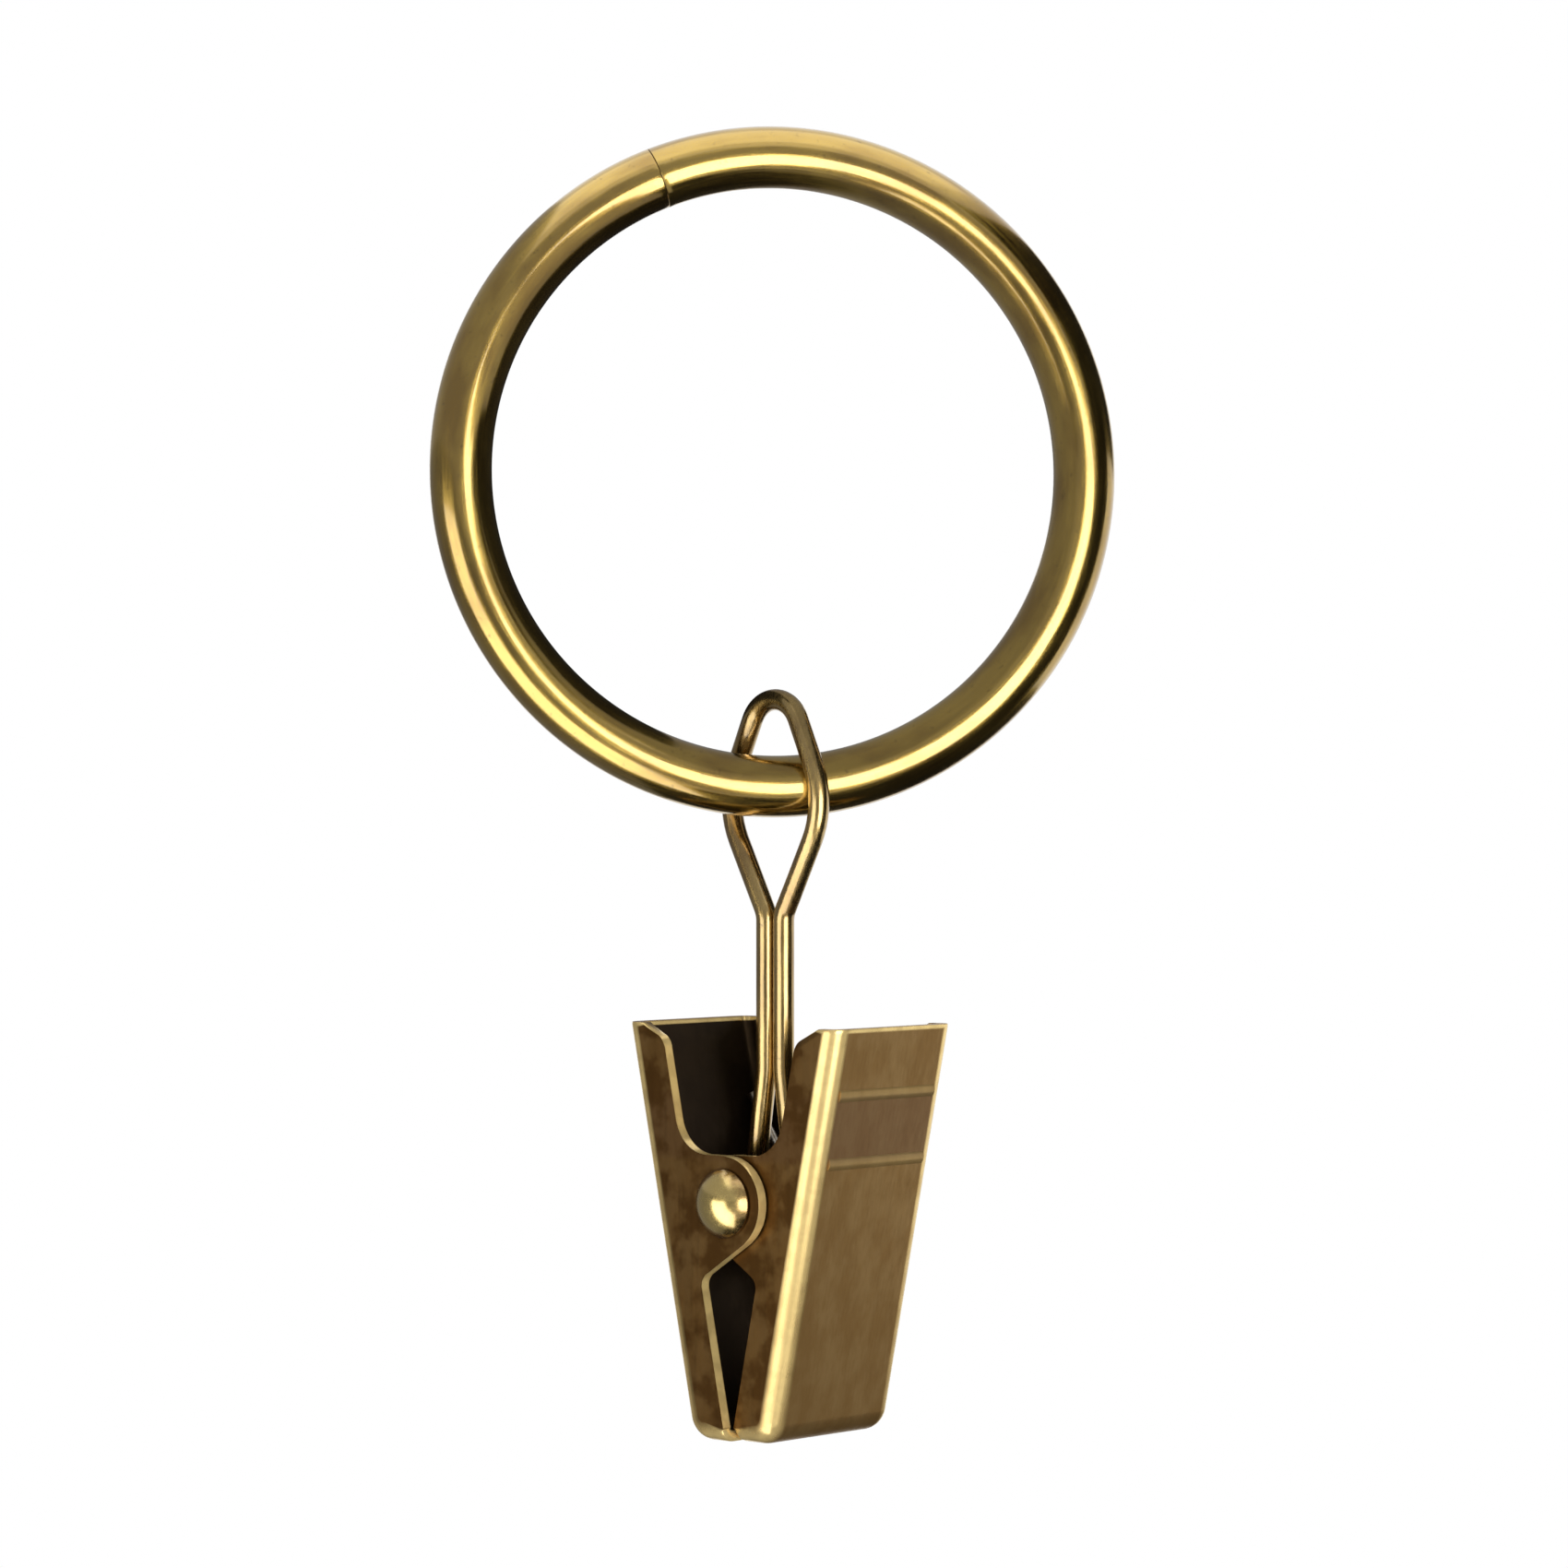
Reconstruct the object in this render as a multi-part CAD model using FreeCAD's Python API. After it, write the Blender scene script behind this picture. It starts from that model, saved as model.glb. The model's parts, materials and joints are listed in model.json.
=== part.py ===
import FreeCAD, Part
import math
import os

# Curtain ring with a pinch clip: a wire ring, a wire eyelet that hangs on it, and two folded sheet
# jaws sprung shut on a rivet. Lengths are millimetres and angles are degrees. The origin is the
# ring's centre, the ring's axis is Y, and the clip hangs below it along -Z.

# Ring: round wire bent to a circle, with its two ends butted at the upper left
RING_BORE = 32.0
RING_WIRE = 3.5
SEAM_GAP = 0.12
SEAM_ANGLE = 112.0
SEAM_EDGE_ROUND = 0.2

# Eyelet: thin wire bent to a loop with a waist, in a plane square to the rivet
EYELET_WIRE = 1.2
EYELET_LENGTH = 23.25
EYELET_RING_GAP = 0.42
EYELET_ARCH_RADIUS = 1.9
EYELET_ARCH_LEAN = 24.0
EYELET_SIDE_BEND = 5.0
EYELET_SIDE_DROP = 0.8
EYELET_NECK_LEAN = 27.0
EYELET_NECK_BEND = 1.6
EYELET_WAIST_GAP = 0.1
EYELET_FOOT_LEAN = 8.0
EYELET_FOOT_BEND = 4.0
EYELET_END_GAP = 0.2
EYELET_FORWARD = 1.2

# Clip: how far it is turned about the vertical from hanging square to the ring
CLIP_TWIST = 40.0

# Jaws: two equal pressings, each with one ear outside and one ear inside the other's
JAW_WIDTH = 10.2
SHEET = 0.65
FOLD_INNER_RADIUS = 0.45
JAW_LEAN = 12.0
JAW_HALF_SPREAD = 5.64
LEVER_RISE = 9.9
TIP_DROP = 13.4
TIP_INNER_RADIUS = 0.85
BITE_GAP = 0.1
BITE_HEIGHT = 0.81
FLANGE_DEPTH = 2.85
FLANGE_TOP_DROP = 1.5
FLANGE_TOP_ROUND = 1.0
EAR_RADIUS = 2.65
EAR_SLOPE = 33.0
EAR_FILLET = 2.4
SHOULDER_ROUND = 0.8
EAR_SIDE_GAP = 0.1
RIB_HEIGHTS = (2.4, 6.3)
RIB_WIDTH = 0.7
RIB_RISE = 0.12

# Rivet: plain shank with a domed head at each end
SHANK_DIAMETER = 2.0
PIVOT_GAP = 0.05
HEAD_DIAMETER = 4.0
HEAD_RISE = 1.2
HEAD_GAP = 0.05

# Spring: coil on the shank behind the eyelet, with one leg up the inside of each lever
SPRING_WIRE = 0.6
SPRING_BORE_GAP = 0.1
SPRING_TURN_GAP = 0.05
SPRING_EYELET_GAP = 0.15
SPRING_TURNS = 5
SPRING_LEG_REACH = 6.6
SPRING_LEG_GAP = 0.05

Vector = FreeCAD.Vector
X_AXIS = Vector(1, 0, 0)
Y_AXIS = Vector(0, 1, 0)
Z_AXIS = Vector(0, 0, 1)
ORIGIN = Vector(0, 0, 0)
TOUCH = 1e-6

ring_radius = (RING_BORE + RING_WIRE) / 2
shank_radius = SHANK_DIAMETER / 2
fold_radius = FOLD_INNER_RADIUS + SHEET
tip_radius = TIP_INNER_RADIUS + SHEET
jaw_shift = (SHEET + EAR_SIDE_GAP) / 2
pivot_height = -ring_radius - EYELET_LENGTH


def direction(angle):
    """Unit vector in the XZ plane, at an angle from +X towards +Z."""
    turn = math.radians(angle)
    return Vector(math.cos(turn), 0, math.sin(turn))


def meet(point_a, along_a, point_b, along_b):
    """Point in the XZ plane where two lines cross."""
    across_b = Vector(-along_b.z, 0, along_b.x)
    reach = (point_b - point_a).dot(across_b) / along_a.dot(across_b)
    return point_a + along_a * reach


def mirrored(point):
    """The same point on the other side of the YZ plane."""
    return Vector(-point.x, point.y, point.z)


def rounded_edges(corners, closed):
    """Straight runs between the corners, each a point with the radius that it is rounded to."""
    bends = []
    for index, (point, radius) in enumerate(corners):
        at_end = not closed and index in (0, len(corners) - 1)
        if at_end or radius == 0:
            bends.append((point, None, point))
            continue
        arriving = (point - corners[index - 1][0]).normalize()
        leaving = (corners[(index + 1) % len(corners)][0] - point).normalize()
        half_turn = arriving.getAngle(leaving) / 2
        setback = radius * math.tan(half_turn)
        towards_centre = (leaving - arriving).normalize()
        middle = point + towards_centre * (radius / math.cos(half_turn) - radius)
        bends.append((point - arriving * setback, middle, point + leaving * setback))

    edges = []
    for index, (start, middle, finish) in enumerate(bends):
        if middle is not None:
            edges.append(Part.Arc(start, middle, finish).toShape())
        if not closed and index == len(bends) - 1:
            break
        following = bends[(index + 1) % len(bends)][0]
        if finish.distanceToPoint(following) > TOUCH:
            edges.append(Part.makeLine(finish, following))
    return edges


def bend_wire(edges, diameter):
    """Round wire along a path, cut square at both ends."""
    path = Part.Wire(edges)
    first = path.OrderedEdges[0]
    start = path.OrderedVertexes[0].Point
    along = first.tangentAt(first.getParameterByLength(0))
    section = Part.Wire(Part.makeCircle(diameter / 2, start, along))
    wire = path.makePipeShell([section], True, False)
    if wire.Volume < 0:
        wire.reverse()
    return wire


def slab(edges, low, high):
    """Solid with an outline in the XZ plane, from one Y to another."""
    face = Part.Face(Part.Wire(edges))
    face.translate(Y_AXIS * low)
    return face.extrude(Y_AXIS * (high - low))


def round_folds(solid, outline_edges, low, high, radius):
    """Round the long edges of a slab, where part of its outline meets its two sides."""
    folds = []
    for edge in solid.Edges:
        middle = edge.valueAt((edge.FirstParameter + edge.LastParameter) / 2)
        on_side = min(abs(middle.y - low), abs(middle.y - high)) < TOUCH
        probe = Part.Vertex(Vector(middle.x, 0, middle.z))
        on_outline = min(probe.distToShape(part)[0] for part in outline_edges) < TOUCH
        if on_side and on_outline:
            folds.append(edge)
    return solid.makeFillet(radius, folds)


def make_ring():
    """Wire ring with a hairline seam where its ends butt."""
    seam_turn = math.degrees(SEAM_GAP / ring_radius)
    outward = direction(SEAM_ANGLE - seam_turn / 2)
    tangent = outward.cross(Y_AXIS)
    section = Part.Face(Part.Wire(Part.makeCircle(RING_WIRE / 2, outward * ring_radius, tangent)))
    ring = section.revolve(ORIGIN, Y_AXIS, 360 - seam_turn)
    rims = [edge for face in ring.Faces if isinstance(face.Surface, Part.Plane) for edge in face.Edges]
    return ring.makeFillet(SEAM_EDGE_ROUND, rims)


def make_eyelet():
    """Wire eyelet about the rivet's centre: lower loop, waist and upper loop, its ends butted below."""
    loop_radius = shank_radius + PIVOT_GAP + EYELET_WIRE / 2
    ring_half_width = RING_WIRE / 2 / math.cos(math.radians(CLIP_TWIST))
    widest = ring_half_width + EYELET_RING_GAP + EYELET_WIRE / 2
    side_centre = Vector(widest - EYELET_SIDE_BEND, 0, EYELET_LENGTH - EYELET_SIDE_DROP)
    strand = Vector((EYELET_WIRE + EYELET_WAIST_GAP) / 2, 0, 0)

    end_turn = math.degrees(EYELET_END_GAP / 2 / loop_radius)
    wire_end = direction(end_turn - 90) * loop_radius
    loop_side = direction(0) * loop_radius
    foot = direction(EYELET_FOOT_LEAN) * loop_radius
    foot_run = direction(90 + EYELET_FOOT_LEAN)
    neck = side_centre + direction(-EYELET_NECK_LEAN) * EYELET_SIDE_BEND
    neck_run = direction(90 - EYELET_NECK_LEAN)
    flank = side_centre + direction(EYELET_ARCH_LEAN) * EYELET_SIDE_BEND
    flank_run = direction(90 + EYELET_ARCH_LEAN)

    right_half = [
        (foot, 0),
        (meet(foot, foot_run, strand, Z_AXIS), EYELET_FOOT_BEND),
        (meet(neck, neck_run, strand, Z_AXIS), EYELET_NECK_BEND),
        (meet(neck, neck_run, flank, flank_run), EYELET_SIDE_BEND),
    ]
    apex = (meet(flank, flank_run, ORIGIN, Z_AXIS), EYELET_ARCH_RADIUS)
    left_half = [(mirrored(point), radius) for point, radius in reversed(right_half)]
    edges = [Part.Arc(wire_end, loop_side, foot).toShape()]
    edges += rounded_edges(right_half + [apex] + left_half, False)
    edges.append(Part.Arc(mirrored(foot), mirrored(loop_side), mirrored(wire_end)).toShape())
    eyelet = bend_wire(edges, EYELET_WIRE)
    eyelet.translate(Y_AXIS * -EYELET_FORWARD)
    return eyelet


def make_right_jaw():
    """Folded sheet jaw about the rivet's centre: plate on +X, two flanges with ears, turned-in tip."""
    half_width = JAW_WIDTH / 2
    up = direction(90 - JAW_LEAN)
    inward = direction(180 - JAW_LEAN)
    outer_face = Vector(JAW_HALF_SPREAD, 0, 0)
    inner_face = outer_face + inward * SHEET
    flange_edge = outer_face + inward * FLANGE_DEPTH
    ear_top = Vector(0, 0, EAR_RADIUS)
    ear_run = direction(-EAR_SLOPE)
    ear_under = direction(-90 - EAR_SLOPE) * EAR_RADIUS
    bite_top = Vector(BITE_GAP / 2, 0, BITE_HEIGHT - TIP_DROP)
    tip_bottom = Vector(0, 0, -TIP_DROP)
    tip_inside = Vector(0, 0, SHEET - TIP_DROP)

    lever_top = meet(outer_face, up, Vector(0, 0, LEVER_RISE), X_AXIS)
    plate_outline = [
        (meet(bite_top, Z_AXIS, tip_bottom, X_AXIS), 0),
        (meet(outer_face, up, tip_bottom, X_AXIS), tip_radius),
        (lever_top, 0),
    ]
    flange_outline = [
        (lever_top + inward * fold_radius, 0),
        (lever_top + inward * FLANGE_DEPTH - up * FLANGE_TOP_DROP, FLANGE_TOP_ROUND),
        (meet(flange_edge, up, ear_top, X_AXIS), EAR_FILLET),
        (meet(ear_top, X_AXIS, ear_under, ear_run), EAR_RADIUS),
        (meet(ear_under, ear_run, bite_top, up), SHOULDER_ROUND),
        (bite_top, 0),
    ]
    outside = slab(rounded_edges(plate_outline + flange_outline, True), -half_width, half_width)
    outside_folds = rounded_edges(plate_outline, False)
    outside = round_folds(outside, outside_folds, -half_width, half_width, fold_radius)

    cavity_half = half_width - SHEET
    above = Vector(0, 0, LEVER_RISE + FLANGE_DEPTH)
    beyond = Vector(-JAW_HALF_SPREAD, 0, 0)
    cavity_outline = [
        (meet(beyond, Z_AXIS, tip_inside, X_AXIS), 0),
        (meet(inner_face, up, tip_inside, X_AXIS), TIP_INNER_RADIUS),
        (meet(inner_face, up, above, X_AXIS), 0),
    ]
    cavity_back = [(meet(beyond, Z_AXIS, above, X_AXIS), 0)]
    cavity = slab(rounded_edges(cavity_outline + cavity_back, True), -cavity_half, cavity_half)
    cavity_folds = rounded_edges(cavity_outline, False)
    cavity = round_folds(cavity, cavity_folds, -cavity_half, cavity_half, FOLD_INNER_RADIUS)

    hole = Part.makeCylinder(shank_radius + PIVOT_GAP, JAW_WIDTH, Y_AXIS * -half_width, Y_AXIS)
    jaw = outside.cut(cavity).cut(hole)
    for height in RIB_HEIGHTS:
        jaw = jaw.fuse(make_rib(outer_face + up * height, up, inward))
    jaw = jaw.removeSplitter()
    jaw.translate(Y_AXIS * jaw_shift)
    return jaw


def make_rib(centre, up, inward):
    """Low rounded rib pressed across a lever's outer face."""
    rise = up * (RIB_WIDTH / 2)
    root = inward * (SHEET / 2)
    reach = JAW_WIDTH / 2 - fold_radius
    edges = [
        Part.Arc(centre - rise, centre - inward * RIB_RISE, centre + rise).toShape(),
        Part.makeLine(centre + rise, centre + rise + root),
        Part.makeLine(centre + rise + root, centre - rise + root),
        Part.makeLine(centre - rise + root, centre - rise),
    ]
    return slab(edges, -reach, reach)


def make_rivet():
    """Rivet along Y: shank and two domed heads, turned from one outline."""
    seat = JAW_WIDTH / 2 + jaw_shift + HEAD_GAP
    crown = seat + HEAD_RISE
    head_radius = HEAD_DIAMETER / 2
    dome_radius = (head_radius ** 2 + HEAD_RISE ** 2) / (2 * HEAD_RISE)
    half_way = math.asin(head_radius / dome_radius) / 2
    dome_middle = Vector(
        dome_radius * math.sin(half_way),
        crown - dome_radius * (1 - math.cos(half_way)),
        0,
    )
    front = [
        Vector(0, -crown, 0),
        Vector(dome_middle.x, -dome_middle.y, 0),
        Vector(head_radius, -seat, 0),
    ]
    back = [Vector(point.x, -point.y, 0) for point in reversed(front)]
    edges = [
        Part.Arc(*front).toShape(),
        Part.makeLine(front[-1], Vector(shank_radius, -seat, 0)),
        Part.makeLine(Vector(shank_radius, -seat, 0), Vector(shank_radius, seat, 0)),
        Part.makeLine(Vector(shank_radius, seat, 0), back[0]),
        Part.Arc(*back).toShape(),
        Part.makeLine(back[-1], front[0]),
    ]
    return Part.Face(Part.Wire(edges)).revolve(ORIGIN, Y_AXIS, 360)


def make_spring():
    """Torsion spring: a coil on the shank whose two legs leave upwards and rest inside the levers."""
    coil_radius = shank_radius + SPRING_BORE_GAP + SPRING_WIRE / 2
    pitch = SPRING_WIRE + SPRING_TURN_GAP
    up = direction(90 - JAW_LEAN)
    outward = direction(-JAW_LEAN)
    plate_distance = JAW_HALF_SPREAD * math.cos(math.radians(JAW_LEAN))
    leg_seat = plate_distance - SHEET - SPRING_LEG_GAP - SPRING_WIRE / 2
    leg_end = up * SPRING_LEG_REACH + outward * leg_seat
    leg_length = math.sqrt(leg_end.Length ** 2 - coil_radius ** 2)
    leg_lean = math.degrees(math.atan2(leg_end.x, leg_end.z) - math.atan2(coil_radius, leg_length))

    wound = 360 * SPRING_TURNS - 180 - 2 * leg_lean
    coil_length = pitch * wound / 360
    coil = Part.makeHelix(pitch, coil_length, coil_radius)
    climb = pitch / (2 * math.pi)
    turn = math.radians(wound)
    first_end = Vector(coil_radius, 0, 0)
    last_end = Vector(coil_radius * math.cos(turn), coil_radius * math.sin(turn), coil_length)
    leg_scale = leg_length / coil_radius
    first_leg = Vector(0, -coil_radius, -climb) * leg_scale
    last_leg = Vector(-coil_radius * math.sin(turn), coil_radius * math.cos(turn), climb) * leg_scale
    edges = [Part.makeLine(first_end + first_leg, first_end)]
    edges += coil.Edges
    edges.append(Part.makeLine(last_end, last_end + last_leg))

    spring = bend_wire(edges, SPRING_WIRE)
    spring.rotate(ORIGIN, X_AXIS, -90)
    spring.rotate(ORIGIN, Y_AXIS, leg_lean)
    spring.translate(Y_AXIS * (EYELET_WIRE / 2 + SPRING_EYELET_GAP + SPRING_WIRE / 2 - EYELET_FORWARD))
    return spring


def hang(shape):
    """Move a piece from the clip's own frame to its place under the ring, the eyelet on the centre."""
    shape.translate(Y_AXIS * EYELET_FORWARD)
    shape.rotate(ORIGIN, Z_AXIS, CLIP_TWIST - 90)
    shape.translate(Z_AXIS * pivot_height)
    return shape


right_jaw = make_right_jaw()
left_jaw = right_jaw.copy()
left_jaw.rotate(ORIGIN, Z_AXIS, 180)

pieces = {
    "curtain_ring": make_ring(),
    "eyelet": hang(make_eyelet()),
    "left_jaw": hang(left_jaw),
    "right_jaw": hang(right_jaw),
    "pivot_rivet": hang(make_rivet()),
    "torsion_spring": hang(make_spring()),
}

os.makedirs("parts", exist_ok=True)
for name, shape in pieces.items():
    shape.exportStep("parts/" + name + ".step")
    print(name, "valid" if shape.isValid() else "NOT VALID", len(shape.Solids), round(shape.Volume, 2))
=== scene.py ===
# %% [markdown]
# # Curtain ring with a pinch clip
#
# This lesson dresses a small piece of curtain hardware: a wire ring, a thin wire eyelet that hangs on
# it, and a sprung clip of folded sheet. The construction is loaded first and stays where it is. Each
# piece is then modelled again with the tools of a metal workshop in mind, and given its finish.

import json
import math

import bmesh
import bpy
from mathutils import Matrix, Vector


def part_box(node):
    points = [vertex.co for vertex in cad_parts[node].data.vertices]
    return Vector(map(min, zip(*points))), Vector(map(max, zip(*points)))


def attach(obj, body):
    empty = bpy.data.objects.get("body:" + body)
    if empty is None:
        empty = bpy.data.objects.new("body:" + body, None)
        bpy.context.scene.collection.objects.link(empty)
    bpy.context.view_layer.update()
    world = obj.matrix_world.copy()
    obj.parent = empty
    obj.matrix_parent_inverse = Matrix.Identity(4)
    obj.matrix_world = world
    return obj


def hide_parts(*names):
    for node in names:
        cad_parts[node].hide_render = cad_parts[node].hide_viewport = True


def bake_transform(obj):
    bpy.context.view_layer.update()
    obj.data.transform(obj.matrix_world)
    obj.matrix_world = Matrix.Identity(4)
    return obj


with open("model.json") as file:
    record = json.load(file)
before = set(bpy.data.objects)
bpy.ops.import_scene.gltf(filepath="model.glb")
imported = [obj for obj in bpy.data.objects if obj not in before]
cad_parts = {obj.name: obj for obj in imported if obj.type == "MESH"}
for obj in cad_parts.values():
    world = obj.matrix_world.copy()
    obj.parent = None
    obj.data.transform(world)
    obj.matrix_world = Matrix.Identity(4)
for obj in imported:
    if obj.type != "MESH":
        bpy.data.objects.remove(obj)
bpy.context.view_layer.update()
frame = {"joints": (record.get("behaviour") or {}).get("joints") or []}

# %% [markdown]
# ## Two frames
#
# The ring stands in the XZ plane about the origin. The clip hangs turned about the vertical, so it is
# easier to model in a frame of its own: x across the jaws, y along the rivet, z up, with its origin on
# the rivet. The joint between eyelet and clip says where the rivet is and which way it points. Small
# work is done in millimetres, because Blender's operators are happiest with numbers near one, and a
# finished mesh is scaled to metres and moved to its place.

# %% Place of the clip
MM = 0.001
EYELET_FORWARD = 1.2

joints = {joint["name"]: joint for joint in frame["joints"]}
rivet_place = Vector(joints["clip_swing"]["pos_m"])
rivet_axis = Vector(joints["clip_swing"]["axis"]).normalized()
clip_turn = math.atan2(rivet_axis.y, rivet_axis.x) - math.pi / 2

to_metres = Matrix.Scale(MM, 4)
eyelet_place = Matrix.Translation(rivet_place) @ Matrix.Rotation(clip_turn, 4, "Z") @ to_metres
clip_place = eyelet_place @ Matrix.Translation((0, EYELET_FORWARD, 0))
print("clip turned by", round(math.degrees(clip_turn), 1), "degrees, rivet at", rivet_place)

# %% [markdown]
# ## From bmesh to piece
#
# Every piece leaves its bmesh in the same way: doubles merged, faces turned outwards, placed, smooth
# shaded with its sharp edges marked, and the plain solid that it replaces hidden. Most pieces are then
# tied to the body that carries them.

# %% Helper that makes a piece
SHARP_ANGLE = math.radians(50)
MERGE_DISTANCE = 1e-4


def make_piece(name, bm, place, node):
    """Turn a bmesh in millimetres into a shaded object in its place, standing for a node."""
    bmesh.ops.remove_doubles(bm, verts=bm.verts, dist=MERGE_DISTANCE)
    bmesh.ops.recalc_face_normals(bm, faces=bm.faces)
    bmesh.ops.transform(bm, matrix=place, verts=bm.verts)
    mesh = bpy.data.meshes.new(name)
    bm.to_mesh(mesh)
    bm.free()
    mesh.shade_smooth()
    mesh.set_sharp_from_angle(angle=SHARP_ANGLE)
    piece = bpy.data.objects.new(name, mesh)
    bpy.context.scene.collection.objects.link(piece)
    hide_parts(node)
    print(name, "has", len(mesh.polygons), "faces")
    return piece


# %% [markdown]
# ## A wire former
#
# Round wire is bent by feeding a straight length and then turning it round a pin. Blender's spin does
# both: with an angle it sweeps what is selected round a centre, and with no angle and a step it pushes
# it straight on. The former below works on anything that lies in the XZ plane, so a ring of edges
# becomes a bent wire and a single vertex becomes an outline.

# %% Helpers that feed and bend
STEP_ANGLE = 6.0
WIRE_SIDES = 32
END_STEPS = 3


def direction(angle):
    """Unit vector in the XZ plane, at an angle in degrees from +X towards +Z."""
    turn = math.radians(angle)
    return Vector((math.cos(turn), 0, math.sin(turn)))


def meet(point_a, along_a, point_b, along_b):
    """Point in the XZ plane where two lines cross."""
    across_b = Vector((-along_b.z, 0, along_b.x))
    return point_a + along_a * ((point_b - point_a).dot(across_b) / along_a.dot(across_b))


def feed(bm, front, run):
    """Push the front straight on, and return the new front."""
    return bmesh.ops.spin(bm, geom=front, axis=(0, 1, 0), dvec=run, angle=0, steps=1)["geom_last"]


def bend(bm, front, centre, angle):
    """Turn the front about a centre by an angle in degrees, from +X towards +Z."""
    steps = max(2, math.ceil(abs(angle) / STEP_ANGLE))
    turned = bmesh.ops.spin(
        bm, geom=front, cent=centre, axis=(0, -1, 0), angle=math.radians(angle), steps=steps
    )
    return turned["geom_last"]


def form(bm, front, start, corners):
    """Lead the front from the start past corners, each a point with its bend radius, to the last."""
    here = start
    points = [start] + [point for point, radius in corners]
    for index, (point, radius) in enumerate(corners, 1):
        arriving = (point - points[index - 1]).normalized()
        if radius == 0 or index == len(corners):
            front = feed(bm, front, point - here)
            here = point
            continue
        leaving = (points[index + 1] - point).normalized()
        turn = arriving.angle(leaving)
        setback = radius * math.tan(turn / 2)
        if (point - arriving * setback - here).length > MERGE_DISTANCE:
            front = feed(bm, front, point - arriving * setback - here)
        side = 1 if arriving.cross(leaving).y < 0 else -1
        left = Vector((-arriving.z, 0, arriving.x)) * side
        centre = point - arriving * setback + left * radius
        front = bend(bm, front, centre, math.degrees(turn) * side)
        here = point + leaving * setback
    return front


def once(items):
    """Each item once, in the order found, so that every run sweeps and bevels in the same order."""
    return list(dict.fromkeys(items))


def wire_section(bm, diameter, place):
    """Circle of edges to sweep, placed by a matrix from the XY plane."""
    circle = bmesh.ops.create_circle(bm, cap_ends=False, segments=WIRE_SIDES, radius=diameter / 2)
    bmesh.ops.transform(bm, matrix=place, verts=circle["verts"])
    return once(edge for vert in circle["verts"] for edge in vert.link_edges)


def close_ends(bm, rounding):
    """Cap the open ends of a wire and round their rims."""
    open_edges = [edge for edge in bm.edges if edge.is_boundary]
    caps = bmesh.ops.holes_fill(bm, edges=open_edges, sides=0)["faces"]
    rims = once(edge for cap in caps for edge in cap.edges)
    bmesh.ops.bevel(
        bm, geom=rims, offset=rounding, segments=END_STEPS, profile=0.5, affect="EDGES", material=-1
    )


# %% [markdown]
# ## The ring
#
# The ring is one length of round wire whose ends butt at the upper left. A torus would close over that
# seam, so a circle is spun round the ring's axis by a little less than a full turn, and the two ends
# are capped and rounded.

# %% Ring
SEAM_ANGLE = 112.0
SEAM_GAP = 0.02
SEAM_ROUND = 0.04
RING_STEPS = 300

ring_low, ring_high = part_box("curtain_ring")
ring_wire = (ring_high.y - ring_low.y) / MM
ring_radius = (ring_high.z - ring_low.z) / MM / 2 - ring_wire / 2
seam_turn = SEAM_GAP / ring_radius


def make_ring():
    """Spin the wire's section round the ring's axis, short of a full turn by the seam."""
    bm = bmesh.new()
    seam = Matrix.Rotation(-math.radians(SEAM_ANGLE) - seam_turn / 2, 4, "Y")
    section = wire_section(bm, ring_wire, seam @ Matrix.Translation((ring_radius, 0, 0)))
    bmesh.ops.spin(
        bm, geom=section, axis=(0, -1, 0), angle=2 * math.pi - seam_turn, steps=RING_STEPS
    )
    close_ends(bm, SEAM_ROUND)
    return make_piece("ring_wire", bm, to_metres, "curtain_ring")


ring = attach(make_ring(), "ring")
print("ring wire", round(ring_wire, 2), "mm on a radius of", round(ring_radius, 2), "mm")

# %% [markdown]
# ## The eyelet
#
# The eyelet is thin wire bent to a long loop with a waist: a small loop round the rivet, two strands
# side by side, and an upper loop that rides on the ring. It is symmetrical, so the corners of one half
# are worked out and the other half mirrors them.

# %% Eyelet
EYELET_WIRE = 1.2
EYELET_RING_GAP = 0.42
EYELET_ARCH_RADIUS = 1.9
EYELET_ARCH_LEAN = 24.0
EYELET_SIDE_BEND = 5.0
EYELET_SIDE_DROP = 0.8
EYELET_NECK_LEAN = 27.0
EYELET_NECK_BEND = 1.6
EYELET_WAIST_GAP = 0.1
EYELET_FOOT_LEAN = 8.0
EYELET_FOOT_BEND = 4.0
EYELET_END_GAP = 0.2
EYELET_END_ROUND = 0.1
SHANK_DIAMETER = 2.0
PIVOT_GAP = 0.05

CENTRE = Vector((0, 0, 0))
ACROSS = Vector((1, 0, 0))
UP = Vector((0, 0, 1))


def mirrored(point):
    """The same point on the other side of the YZ plane."""
    return Vector((-point.x, point.y, point.z))


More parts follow.
